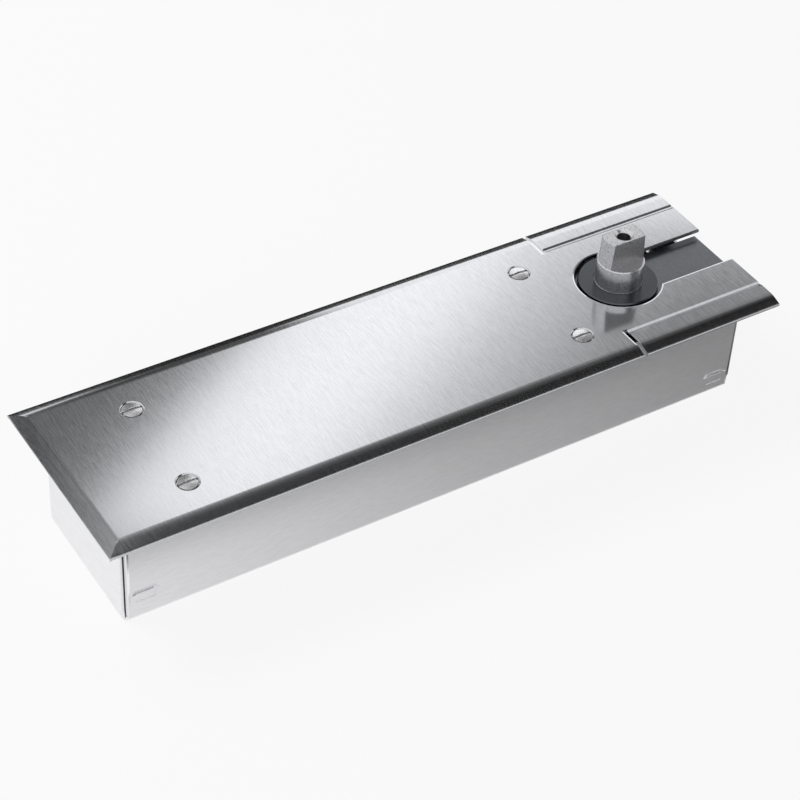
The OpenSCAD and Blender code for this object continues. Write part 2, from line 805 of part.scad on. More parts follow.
// Screwed plug that closes the cylinder and carries the force screw
module end_plug() {
    color("silver") difference() {
        rod_x(plug_r, plug_x0, plug_x1);
        rod_x(force_screw_r, plug_x0 - cut, plug_x1 + cut);
        tube_x(plug_r - 2 * seal_r, plug_r + cut, plug_seal_x - seal_r, plug_seal_x + seal_r);
        // Holes for a pin spanner
        for (s = [-1, 1])
            rod_x(pin_hole_r, plug_x0 - cut, plug_x0 + pin_hole_l, 0,
                mid_z + s * (force_screw_r + plug_r) / 2);
    }
}

module plug_seal() {
    color("black") translate([plug_seal_x, 0, mid_z]) rotate([0, 90, 0])
        o_ring(plug_r - seal_r, seal_r - seat_fit, 0);
}

module filler_screw() {
    color("silver") difference() {
        rod_z(filler_r, mid_z + bore_r + loose, housing_z1, filler_x, 0);
        translate([filler_x, 0, housing_z1 - filler_socket_l])
            cylinder(r = filler_socket_r, h = filler_socket_l + cut, $fn = 6);
    }
}

// Socketed set screws that stand on the box floor and carry the housing
module levelling_screws() {
    color("silver") for (p = level_spots) difference() {
        rod_z(level_r, box_t, level_top, p[0], p[1]);
        translate([p[0], p[1], level_top - level_socket_l])
            cylinder(r = level_socket_r, h = level_socket_l + cut, $fn = 6);
    }
}

// Socket head screws that pull the housing down
module clamp_screws() {
    head_z = foot_z1 + washer_t;
    color("silver") for (x = clamp_spots) difference() {
        union() {
            rod_z(clamp_r, loose, head_z, x, 0);
            rod_z(clamp_head_r, head_z, head_z + clamp_head_h, x, 0);
        }
        translate([x, 0, head_z + clamp_head_h - clamp_socket_l])
            cylinder(r = clamp_socket_r, h = clamp_socket_l + cut, $fn = 6);
    }
}

module clamp_washers() {
    color("silver") for (x = clamp_spots)
        tube_z(clamp_r + seat_fit, clamp_head_r + washer_rim, foot_z1, foot_z1 + washer_t, x, 0);
}

// Place along X of the spring's wire after t turns, with one closed turn at each end
function coil_x(t) =
    let (
        closed = 2 * wire_r + coil_gap,
        x0 = spring_x0 + wire_r + coil_gap,
        x1 = piston_x0 - wire_r - coil_gap,
        pitch = (x1 - x0 - 2 * closed) / (coil_turns - 2)
    )
    t < 1 ? x0 + closed * t
        : t > coil_turns - 1 ? x1 - closed * (coil_turns - t)
        : x0 + closed + pitch * (t - 1);

// Closing spring, one wire swept along its turns
module closing_spring() {
    rings_per_turn = 12;
    sides = 6;
    rings = coil_turns * rings_per_turn;
    points = [for (i = [0 : rings], j = [0 : sides - 1])
        let (
            a = 360 * i / rings_per_turn,
            b = 360 * j / sides,
            r = coil_r + wire_r * cos(b)
        )
        [coil_x(i / rings_per_turn) + wire_r * sin(b), r * cos(a), r * sin(a)]];
    sides_faces = [for (i = [0 : rings - 1], j = [0 : sides - 1], half = [0, 1])
        let (
            a = i * sides + j,
            b = i * sides + (j + 1) % sides
        )
        half == 0 ? [a, b, a + sides] : [b, b + sides, a + sides]];
    start = [for (j = [1 : sides - 2]) [0, j + 1, j]];
    end = [for (j = [1 : sides - 2]) [rings * sides, rings * sides + j, rings * sides + j + 1]];
    color("gray") translate([0, 0, mid_z])
        polyhedron(points = points, faces = concat(sides_faces, start, end));
}

// Shaft, neck and flat conical head, forged in one piece
module spindle() {
    color("darkgray") difference() {
        union() {
            rod_z(journal_r, journal_z0 + loose, shoulder_z + cut);
            rod_z(shaft_r, shoulder_z, cam_z1);
            rod_z(upper_shaft_r, cam_z1, neck_z0);
            rod_z(neck_journal_r, neck_z0, cover_z1);
            rod_z(neck_r, neck_z0, neck_z1 - neck_chamfer);
            translate([0, 0, neck_z1 - neck_chamfer])
                cylinder(r1 = neck_r, r2 = neck_r - neck_chamfer, h = neck_chamfer);
            intersection() {
                translate([0, 0, neck_z1 - cut]) cylinder(
                    r1 = head_r1 + (head_r1 - head_r2) * cut / head_h, r2 = head_r2, h = head_h + cut);
                translate([-neck_r, -head_flats / 2, neck_z1 - cut])
                    cube([2 * neck_r, head_flats, head_h + 2 * cut]);
            }
        }
        rod_z(tap_r, head_z1 - tap_depth, head_z1 + cut);
        translate([0, 0, head_z1 - (tap_sink_r - tap_r)])
            cylinder(r1 = tap_r, r2 = tap_sink_r, h = tap_sink_r - tap_r);
        // Keyway and retaining groove at the cam
        translate([shaft_r - key_h / 2 - seat_fit, -key_w / 2 - seat_fit, cam_z0 - seat_fit])
            cube([key_h, key_w + 2 * seat_fit, roller_w + seat_fit]);
        tube_z(shaft_r - ring_groove, shaft_r + cut, cam_z0 - ring_t - seat_fit, cam_z0);
    }
}

// Heart-shaped plate cam, notch towards the roller
module cam() {
    rise = [for (a = [0 : cam_step : cam_rise]) cam_edge(a)];
    last = rise[len(rise) - 1];
    last_a = atan2(last[1], last[0]);
    dwell_parts = 16;
    dwell = [for (i = [1 : dwell_parts - 1])
        let (a = last_a + (360 - 2 * last_a) * i / dwell_parts)
        norm(last) * [cos(a), sin(a)]];
    notch_a = atan(piston_lead / roller_rest);
    notch_parts = 10;
    notch = [for (i = [1 : notch_parts - 1])
        let (a = 180 + notch_a - 2 * notch_a * i / notch_parts)
        [roller_rest, 0] + cam_cut_r * [cos(a), sin(a)]];
    color("darkslategray") difference() {
        rotate([0, 0, 180]) along_z(cam_z0, cam_z1) polygon(concat(rise, dwell, mirrored(rise), notch));
        rod_z(shaft_r + seat_fit, cam_z0 - cut, cam_z1 + cut);
        translate([shaft_r - cut, -key_w / 2 - seat_fit, cam_z0 - cut])
            cube([key_h / 2 + cut + seat_fit, key_w + 2 * seat_fit, roller_w + 2 * cut]);
    }
}

module cam_key() {
    color("silver") translate([shaft_r - key_h / 2, -key_w / 2, cam_z0]) cube([key_h, key_w, roller_w]);
}

// Open snap ring under the cam
module retaining_ring() {
    color("dimgray") difference() {
        tube_z(shaft_r - ring_groove + seat_fit, shaft_r + ring_rim, cam_z0 - ring_t, cam_z0);
        translate([0, -ring_mouth / 2, cam_z0 - ring_t - cut])
            cube([2 * shaft_r, ring_mouth, ring_t + 2 * cut]);
    }
}

// Piston with the fork that carries the roller, a spring spigot and the check valve's channel
module piston() {
    color("silver") difference() {
        union() {
            rod_x(piston_r, piston_x0, piston_x1);
            rod_x(spigot_r, piston_x0 - spigot_l, piston_x0);
            for (z = [mid_z - cheek_z - cheek_t, mid_z + cheek_z])
                along_z(z, z + cheek_t) {
                    translate([-roller_rest, 0]) circle(r = cheek_round);
                    translate([piston_x1 - cut, -cheek_round])
                        square([-roller_rest - piston_x1 + cut, 2 * cheek_round]);
                }
        }
        rod_z(axle_r + seat_fit, mid_z - piston_r, mid_z + piston_r, -roller_rest, 0);
        tube_x(piston_r - 2 * seal_r, piston_r + cut, piston_seal_x - seal_r, piston_seal_x + seal_r);
        rod_x(check_hole_r, check_step_x - cut, piston_x1 + cut);
        rod_x(check_r, piston_x0 - spigot_l - cut, check_step_x);
    }
}

module piston_seal() {
    color("black") tube_x(piston_r - 2 * seal_r + seat_fit, piston_r, piston_seal_x - seal_r + seat_fit,
        piston_seal_x + seal_r - seat_fit);
}

module roller_axle() {
    color("silver")
        rod_z(axle_r, mid_z - cheek_z - cheek_t, mid_z + cheek_z + cheek_t, -roller_rest, 0);
}

module check_ball() {
    color("silver") translate([ball_x, 0, mid_z]) sphere(r = ball_r);
}

module check_screw() {
    color("silver")
        tube_x(check_bleed_r, check_r - seat_fit, check_screw_x1 - check_screw_l, check_screw_x1);
}

module pressure_roller() {
    color("silver") tube_z(axle_r + run_fit, roller_r, cam_z0, cam_z1, -roller_rest, 0);
}

// Plate behind the spring, pushed by the force screw
module spring_plate() {
    color("silver") {
        rod_x(piston_r - loose, spring_plate_x0, spring_x0);
        rod_x(spigot_r, spring_x0, spring_x0 + spigot_l);
    }
}

module force_screw() {
    color("silver") difference() {
        rod_x(force_screw_r - run_fit, force_screw_x0, spring_plate_x0);
        translate([force_screw_x0 - cut, 0, mid_z]) rotate([0, 90, 0])
            cylinder(r = force_socket_r, h = force_socket_l + cut, $fn = 6);
    }
}

// Slotted needle valve in one side of the barrel
module valve(side) {
    color("silver") translate([-valve_x, side * valve_y, 0]) difference() {
        union() {
            rod_z(valve_r - run_fit, valve_foot_z, valve_top_z);
            rod_z(needle_r, valve_foot_z - needle_l, valve_foot_z + cut);
        }
        tube_z(valve_groove_r, valve_r + cut, valve_groove_z, valve_groove_z + valve_groove_h);
        translate([-valve_r - cut, -valve_slot_w / 2, valve_top_z - valve_slot_h])
            cube([2 * valve_r + 2 * cut, valve_slot_w, valve_slot_h + cut]);
    }
}

// Sealing ring of one valve: it rises and falls with the valve and doesn't turn
module valve_seal(side) {
    color("black") tube_z(valve_groove_r + run_fit, valve_r - run_fit, valve_groove_z + run_fit,
        valve_groove_z + valve_groove_h - run_fit, -valve_x, side * valve_y);
}

module closing_valve() { valve(-1); }
module closing_valve_seal() { valve_seal(-1); }
module latching_valve() { valve(1); }
module latching_valve_seal() { valve_seal(1); }

cement_box();
cover_bars();
rivet_nuts();
cover_plate();
cover_screws();
slot_plate();
slot_plate_screws();
housing();
bearing_cap();
cap_seal();
cap_screws();
upper_bearing();
shaft_seal();
lower_bearing();
thrust_washer();
end_plug();
plug_seal();
filler_screw();
levelling_screws();
clamp_screws();
clamp_washers();
closing_spring();
spindle();
cam();
cam_key();
retaining_ring();
piston();
piston_seal();
roller_axle();
check_ball();
check_screw();
pressure_roller();
spring_plate();
force_screw();
closing_valve();
closing_valve_seal();
latching_valve();
latching_valve_seal();
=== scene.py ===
"""Looks of a floor-concealed door closer, built round its CAD frame.

The sizes in the settings are in metres. The origin is on the spindle axis, at the underside of the
box, with +X towards the slotted end of the cover, +Y to the back and +Z up.
"""

import json
import math

import bpy
from mathutils import Matrix, Vector


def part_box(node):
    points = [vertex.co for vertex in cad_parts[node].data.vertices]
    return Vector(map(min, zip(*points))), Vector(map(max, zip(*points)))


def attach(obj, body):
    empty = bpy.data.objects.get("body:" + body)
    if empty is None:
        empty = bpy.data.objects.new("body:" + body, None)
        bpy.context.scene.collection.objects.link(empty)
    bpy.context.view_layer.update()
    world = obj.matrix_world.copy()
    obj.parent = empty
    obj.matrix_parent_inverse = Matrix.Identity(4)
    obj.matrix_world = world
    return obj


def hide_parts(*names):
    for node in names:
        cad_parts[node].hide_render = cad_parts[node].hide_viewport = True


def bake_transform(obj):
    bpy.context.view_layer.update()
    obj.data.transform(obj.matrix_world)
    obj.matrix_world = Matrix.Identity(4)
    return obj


bl_info = {
    "name": "Concealed door closer",
    "version": (1, 0, 0),
    "blender": (4, 5, 0),
    "location": "3D View > Sidebar > Closer",
    "description": "Builds the visible sheet, screws and spindle of a floor-concealed door closer",
    "category": "Object",
}

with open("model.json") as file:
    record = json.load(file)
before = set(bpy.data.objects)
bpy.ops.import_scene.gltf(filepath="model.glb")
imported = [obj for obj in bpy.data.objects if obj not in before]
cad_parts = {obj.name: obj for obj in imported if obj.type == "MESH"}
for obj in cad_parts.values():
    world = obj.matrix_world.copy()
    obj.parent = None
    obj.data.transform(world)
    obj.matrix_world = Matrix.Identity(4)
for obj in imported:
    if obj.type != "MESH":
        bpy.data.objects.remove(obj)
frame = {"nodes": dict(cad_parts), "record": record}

MM = 0.001
# Distance under which points of a CAD mesh are merged
MERGE = 1e-6
# Step between two rings or faces that would otherwise lie in one plane
HAIR = 1e-5


# Settings


def srgb(code):
    """Linear RGBA of an sRGB colour written as #rrggbb"""
    parts = [int(code[i : i + 2], 16) / 255 for i in (1, 3, 5)]
    return tuple(c / 12.92 if c <= 0.04045 else ((c + 0.055) / 1.055) ** 2.4 for c in parts) + (1,)


def colour_property(name, description, code):
    return bpy.props.FloatVectorProperty(
        name=name, description=description, subtype="COLOR", size=3, min=0, max=1,
        default=srgb(code)[:3])


def length_property(name, description, default):
    """Length in metres"""
    return bpy.props.FloatProperty(
        name=name, description=description, default=default, unit="LENGTH")


class CoverSettings(bpy.types.PropertyGroup):
    """Sizes of the cover plate's details"""

    thickness: length_property("Sheet thickness", "Thickness of the cover sheet", 0.0015)
    edge_drop: length_property("Edge drop", "Drop of the rolled edge", 0.002)
    opening_radius: length_property(
        "Opening radius", "Radius of the round opening at the spindle", 0.0218)
    slot_width: length_property("Slot width", "Width of the slot that runs to the end", 0.0268)
    strip_width: length_property("Strip width", "Width of the snap-off strips", 0.0163)
    strip_start: length_property(
        "Strip start", "Distance from the spindle axis to the slits", 0.0207)
    slit_width: length_property("Slit width", "Width of the slits", 0.002)
    groove_width: length_property("Groove width", "Width of the snap-off grooves", 0.0032)
    groove_depth: length_property("Groove depth", "Depth of the snap-off grooves", 0.0005)
    dimple_depth: length_property(
        "Dimple depth", "Depth of the pressed dimple round a screw", 0.0005)
    dimple_radius: length_property("Dimple radius", "Outer radius of the pressed dimple", 0.0058)
    edge_broken: length_property("Broken edge", "Width of the broken edges of the openings", 0.0007)


class BoxSettings(bpy.types.PropertyGroup):
    """Sizes of the cement box's details"""

    seam_width: length_property("Seam gap", "Gap between the two folds at a corner", 0.0006)
    seam_depth: length_property("Seam depth", "Depth of the gap from the box's corner", 0.0045)
    gap_inset: length_property(
        "End gap inset", "Distance from the spindle end to the gap's far side", 0.0024)
    gap_width: length_property("End gap", "Gap between a wall's end and the flange's bend", 0.001)
    corner_trim: length_property(
        "Corner trim", "Length cut off each edge of the floor at a corner", 0.003)
    clinch_inset: length_property("Clinch inset", "Distance of a clinch from the box's end", 0.004)
    clinch_far: length_property(
        "Clinch height, far", "Height of the clinch slits at the far end", 0.0156)
    clinch_near: length_property(
        "Clinch height, near", "Height of the clinch slits at the spindle end", 0.0114)


class ScrewSettings(bpy.types.PropertyGroup):
    """Sizes of the cover screws"""

    near: length_property(
        "Nearer pair", "Distance from the spindle axis to the nearer pair", 0.0407)
    pitch_length: length_property("Spacing along", "Spacing of the screws along the cover", 0.2117)
    pitch_width: length_property("Spacing across", "Spacing of the screws across the cover", 0.0546)
    head_radius: length_property("Head radius", "Radius of the countersunk head", 0.00475)
    shank_radius: length_property("Shank radius", "Radius over the thread", 0.0025)
    dome: length_property("Dome", "Rise of the domed head over its rim", 0.0004)
    slot_width: length_property("Slot width", "Width of the driver slot", 0.0012)
    slot_depth: length_property("Slot depth", "Depth of the driver slot under the rim", 0.0012)


class SpindleSettings(bpy.types.PropertyGroup):
    """Sizes of the spindle"""

    neck_radius: length_property("Neck radius", "Radius of the round neck", 0.0118)
    neck_top: length_property("Neck top", "Height of the neck's top face", 0.0727)
    head_radius_low: length_property(
        "Head radius, low", "Radius of the head's cone at the neck", 0.0112)
    head_radius_top: length_property(
        "Head radius, top", "Radius of the head's cone at the top", 0.0105)
    head_flats: length_property("Across flats", "Width across the two flats of the head", 0.0106)
    hole_radius: length_property("Thread core radius", "Core radius of the threaded hole", 0.0034)
    hole_depth: length_property("Thread depth", "Depth of the threaded hole", 0.02)
    sink_radius: length_property("Countersink radius", "Radius of the countersink", 0.0048)
    forge_round: length_property(
        "Forged edge radius", "Radius of the head's rounded edges", 0.00035)


class ColourSettings(bpy.types.PropertyGroup):
    """Colours of the closer's metals and rubber"""

    stainless: colour_property("Stainless", "Brushed stainless cover", "#d0d1d4")
    zinc: colour_property("Zinc", "Zinc-plated sheet", "#f2f2f4")
    bright: colour_property("Bright screws", "Bright zinc-plated screws", "#e4e4e6")
    slot_plate: colour_property("Slot plate", "Ground slot plate", "#75787c")
    cap: colour_property("Bearing cap", "Phosphated bearing cap", "#56595d")
    forged: colour_property("Forged steel", "Spindle", "#dcdcde")
    cast: colour_property("Cast iron", "Primed casting", "#63686d")
    ground: colour_property("Ground steel", "Cam, roller and axle", "#c2c4c7")
    turned: colour_property("Turned steel", "Piston, plugs and adjusters", "#b4b6ba")
    spring: colour_property("Spring steel", "Oiled spring steel", "#55585c")
    bronze: colour_property("Bronze", "Turned bronze bush", "#c69a5c")
    rubber: colour_property("Rubber", "Seals", "#1a1a1b")


SETTINGS = {
    "closer_cover": CoverSettings,
    "closer_box": BoxSettings,
    "closer_screws": ScrewSettings,
    "closer_spindle": SpindleSettings,
    "closer_colours": ColourSettings,
}


# Modelling helpers


def begin():
    """Object mode with nothing selected"""
    if bpy.context.object and bpy.context.object.mode != "OBJECT":
        bpy.ops.object.mode_set(mode="OBJECT")
    bpy.ops.object.select_all(action="DESELECT")


def activate(obj):
    begin()
    obj.select_set(True)
    bpy.context.view_layer.objects.active = obj


def settle(name):
    """Names the new object and puts its place and size into its mesh"""
    obj = bpy.context.object
    obj.name = obj.data.name = name
    bpy.ops.object.transform_apply(location=True, rotation=True, scale=True)
    return obj


def block(name, low, high):
    """Box between two corners"""
    begin()
    low, high = Vector(low), Vector(high)
    bpy.ops.mesh.primitive_cube_add(size=1, location=(low + high) / 2, scale=high - low)
    return settle(name)


def edit(obj, kind="VERT", test=None):
    """Edit mode of obj, with the elements of one kind selected that test accepts"""
    activate(obj)
    bpy.ops.object.mode_set(mode="EDIT")
    bpy.ops.mesh.select_mode(type=kind)
    bpy.ops.mesh.select_all(action="SELECT" if test is None else "DESELECT")
    if test is not None:
        bpy.ops.object.mode_set(mode="OBJECT")
        mesh = obj.data
        if kind == "VERT":
            for v in mesh.vertices:
                v.select = test(v.co)
        elif kind == "EDGE":
            for e in mesh.edges:
                e.select = test(mesh.vertices[e.vertices[0]].co, mesh.vertices[e.vertices[1]].co)
        else:
            for p in mesh.polygons:
                p.select = test(p.center, p.normal)
        bpy.ops.object.mode_set(mode="EDIT")


def leave():
    bpy.ops.object.mode_set(mode="OBJECT")


def turned(name, profile, centre=(0, 0), segments=64):
    """Turned piece round an upright axis: a disc drawn up through the rings (radius, height)"""
    begin()
    x, y = centre
    radius, height = profile[0]
    bpy.ops.mesh.primitive_circle_add(
        vertices=segments, radius=radius, fill_type="NGON", location=(x, y, height))
    obj = settle(name)
    activate(obj)
    bpy.ops.object.mode_set(mode="EDIT")
    bpy.ops.mesh.select_mode(type="FACE")
    bpy.ops.mesh.select_all(action="SELECT")
    for next_radius, next_height in profile[1:]:
        bpy.ops.mesh.extrude_region_move(
            TRANSFORM_OT_translate={"value": (0, 0, next_height - height)})
        scale = next_radius / radius
        bpy.ops.transform.resize(value=(scale, scale, 1), center_override=(x, y, next_height))
        radius, height = next_radius, next_height
    bpy.ops.mesh.select_all(action="SELECT")
    bpy.ops.mesh.normals_make_consistent(inside=False)
    leave()
    return obj


def modify(obj, kind, **settings):
    """Adds a modifier with these settings and applies it"""
    activate(obj)
    modifier = obj.modifiers.new(kind.title(), kind)
    for key, value in settings.items():
        setattr(modifier, key, value)
    bpy.ops.object.modifier_apply(modifier=modifier.name)


def cut(obj, other):
    """Cuts other out of obj, and removes other"""
    modify(obj, "BOOLEAN", object=other, operation="DIFFERENCE", solver="EXACT")
    mesh = other.data
    bpy.data.objects.remove(other)
    bpy.data.meshes.remove(mesh)


def copy_of(obj, name):
    """Copy of an object with a mesh of its own"""
    twin = obj.copy()
    twin.data = obj.data.copy()
    twin.name = twin.data.name = name
    bpy.context.scene.collection.objects.link(twin)
    return twin


def smooth(obj, angle):
    """Smooth edges up to that many degrees, with the broad faces kept flat"""
    activate(obj)
    bpy.ops.object.shade_smooth_by_angle(angle=math.radians(angle))
    modify(obj, "WEIGHTED_NORMAL", mode="FACE_AREA", weight=50, keep_sharp=True)


def paint(obj, material):
    """Gives obj this material alone"""
    obj.data.materials.clear()
    obj.data.materials.append(material)


def dress(obj, body, slot, replaced):
    """Gives a finished piece its material, its body and the node that it stands for"""
    paint(obj, MATERIALS[slot])
    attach(obj, body)
    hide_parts(replaced)


# Materials


def new_tree(name):
    material = bpy.data.materials.new(name)
    material.use_nodes = True
    tree = material.node_tree
    tree.nodes.clear()
    return material, tree


def add(tree, kind, links=None, **settings):
    """Adds a node. Settings name its properties or its inputs, and links join inputs to sockets"""
    node = tree.nodes.new(kind)
    for key, value in settings.items():
        if hasattr(node, key):
            setattr(node, key, value)
        else:
            node.inputs[key.replace("_", " ")].default_value = value
    for key, socket in (links or {}).items():
        tree.links.new(socket, node.inputs[key])
    return node


def grain(tree, scale, detail):
    """Noise over the object's own coordinates, in cells per metre along each axis"""
    place = add(tree, "ShaderNodeTexCoord")
    stretched = add(tree, "ShaderNodeMapping", {"Vector": place.outputs["Object"]}, Scale=scale)
    return add(
        tree, "ShaderNodeTexNoise", {"Vector": stretched.outputs["Vector"]}, Scale=1.0,
        Detail=detail, Roughness=0.6)


def surface(tree, noise, relief, links=None, **settings):
    """Principled surface that rises with the noise by relief, in metres"""
    bump = add(
        tree, "ShaderNodeBump", {"Height": noise.outputs["Fac"]}, Strength=1.0, Distance=relief)
    shader = add(
        tree, "ShaderNodeBsdfPrincipled", {"Normal": bump.outputs["Normal"], **(links or {})},
        **settings)
    add(tree, "ShaderNodeOutputMaterial", {"Surface": shader.outputs["BSDF"]})


def metal(name, colour, rough, scale, relief, rough_spread=0.08, detail=2.0, shade=0.94):
    """Bare metal whose colour, roughness and relief follow one grain. Shade is the colour of the
    grain's low places as a share of the colour"""
    material, tree = new_tree(name)
    noise = grain(tree, scale, detail)
    tint = add(tree, "ShaderNodeValToRGB", {"Fac": noise.outputs["Fac"]})
    low, high = tint.color_ramp.elements
    low.position, low.color = 0.35, tuple(c * shade for c in colour) + (1,)
    high.position, high.color = 0.6, tuple(colour) + (1,)
    spread = add(
        tree, "ShaderNodeMapRange", {"Value": noise.outputs["Fac"]},
        To_Min=rough - rough_spread, To_Max=rough + rough_spread)
    surface(
        tree, noise, relief,
        {"Base Color": tint.outputs["Color"], "Roughness": spread.outputs["Result"]},
        Metallic=1.0)
    return material


def coat(name, colour, rough, scale, relief, detail=2.0):
    """Paint or rubber of one colour and roughness"""
    material, tree = new_tree(name)
    surface(
        tree, grain(tree, scale, detail), relief, Base_Color=tuple(colour) + (1,),
        Roughness=rough)
    return material


def make_materials():
    c = bpy.context.scene.closer_colours
    return {
        # Stainless sheet, belt-brushed across its length. The real lines are about 0.1 mm apart,
        # and they are drawn 0.5 mm apart, because a camera at this distance resolves no finer
        # ones.
        "stainless_cover": metal(
            "stainless_brushed", c.stainless, rough=0.12, scale=(2600, 160, 160), relief=1.6e-6,
            rough_spread=0.04, detail=3.0, shade=0.85),
        # Electro-galvanised steel sheet with faint lengthwise rolling marks
        "zinc_sheet": metal(
            "zinc_plated_sheet", c.zinc, rough=0.32, scale=(160, 160, 1200), relief=4e-6,
            rough_spread=0.06, detail=4.0),
        # Bright zinc-plated screws, turned and tumbled
        "bright_screw": metal(
            "bright_zinc_plated", c.bright, rough=0.26, scale=(1600, 1600, 1600), relief=3e-6,
            rough_spread=0.06, shade=0.75),
        # Steel plate, fine-ground and blackened lightly
        "slot_steel": metal(
            "slot_plate_ground", c.slot_plate, rough=0.3, scale=(1400, 1400, 1400), relief=8e-6,
            rough_spread=0.06, shade=0.8),
        # Turned steel cap, phosphated
        "cap_steel": metal(
            "cap_turned_satin", c.cap, rough=0.24, scale=(1400, 1400, 1400), relief=5e-6,
            rough_spread=0.06),
        # Forged spindle, shot-blasted and then ground on its faces
        "spindle_steel": metal(
            "spindle_forged", c.forged, rough=0.3, scale=(1500, 1500, 1500), relief=1.3e-5,
            shade=0.65),
        # Hardened cam, ground all over
        "cam_steel": metal(
            "cam_ground", c.ground, rough=0.22, scale=(1200, 1200, 300), relief=3e-6),
        # Turned machining steel
        "machine_steel": metal(
            "machined_steel", c.turned, rough=0.26, scale=(1500, 1500, 1500), relief=4e-6),
        # Oil-tempered spring wire, shot-peened
        "spring_steel": metal(
            "spring_wire", c.spring, rough=0.38, scale=(1800, 1800, 1800), relief=8e-6),
        # Ground bearing steel
        "bearing_steel": metal(
            "bearing_steel", c.ground, rough=0.14, scale=(900, 900, 900), relief=2e-6,
            rough_spread=0.04),
        # Turned tin bronze
        "bearing_bronze": metal(
            "turned_bronze", c.bronze, rough=0.3, scale=(900, 900, 2500), relief=4e-6),
        # Grey cast iron with a coat of grey primer, which fills most of the casting skin
        "cast_body": coat(
            "cast_primed", c.cast, rough=0.55, scale=(420, 420, 420), relief=1.2e-4, detail=4.0),
        # Moulded nitrile rubber, wet with oil
        "seal_rubber": coat(
            "nitrile_rubber", c.rubber, rough=0.35, scale=(1500, 1500, 1500), relief=1e-5),
    }


MATERIALS = {}


# Pieces


class CLOSER_OT_materials(bpy.types.Operator):
    """Make the materials and give them to the CAD nodes"""

    bl_idname = "closer.materials"
    bl_label = "Materials"

    def execute(self, context):
        MATERIALS.update(make_materials())
        for part in frame["record"]["subparts"]:
            paint(frame["nodes"][part["node"]], MATERIALS[part["material_slot"]])
        return {"FINISHED"}


def screw_spots():
    """Places (x, y) of the four cover screws"""
    s = bpy.context.scene.closer_screws
    return [
        (x, y * s.pitch_width / 2)
        for x in (-s.near, -s.near - s.pitch_length) for y in (-1, 1)]


# Drop of the rolled edge: (distance from the sheet's edge in mm, share of the whole drop)
EDGE_ROLL = [
    (8.4, 0.0), (7.8, 0.0064), (7.2, 0.0257), (6.6, 0.0579), (6.0, 0.1029), (5.4, 0.1607),
    (4.8, 0.2314), (4.2, 0.315), (1.0, 0.795), (0.0, 1.0)]

# Drop of a broken edge as a share of its width
EDGE_SLOPE = 0.225

# How far a cutter reaches over and under the cover, and past its rim
COVER_PAST = 0.004
RIM_PAST = 0.01

# Clearance of a cover screw's shank, and width and depth of the moat round its head
SHANK_CLEARANCE = 0.0003
MOAT_WIDTH = 0.00045
MOAT_DEPTH = 0.0009


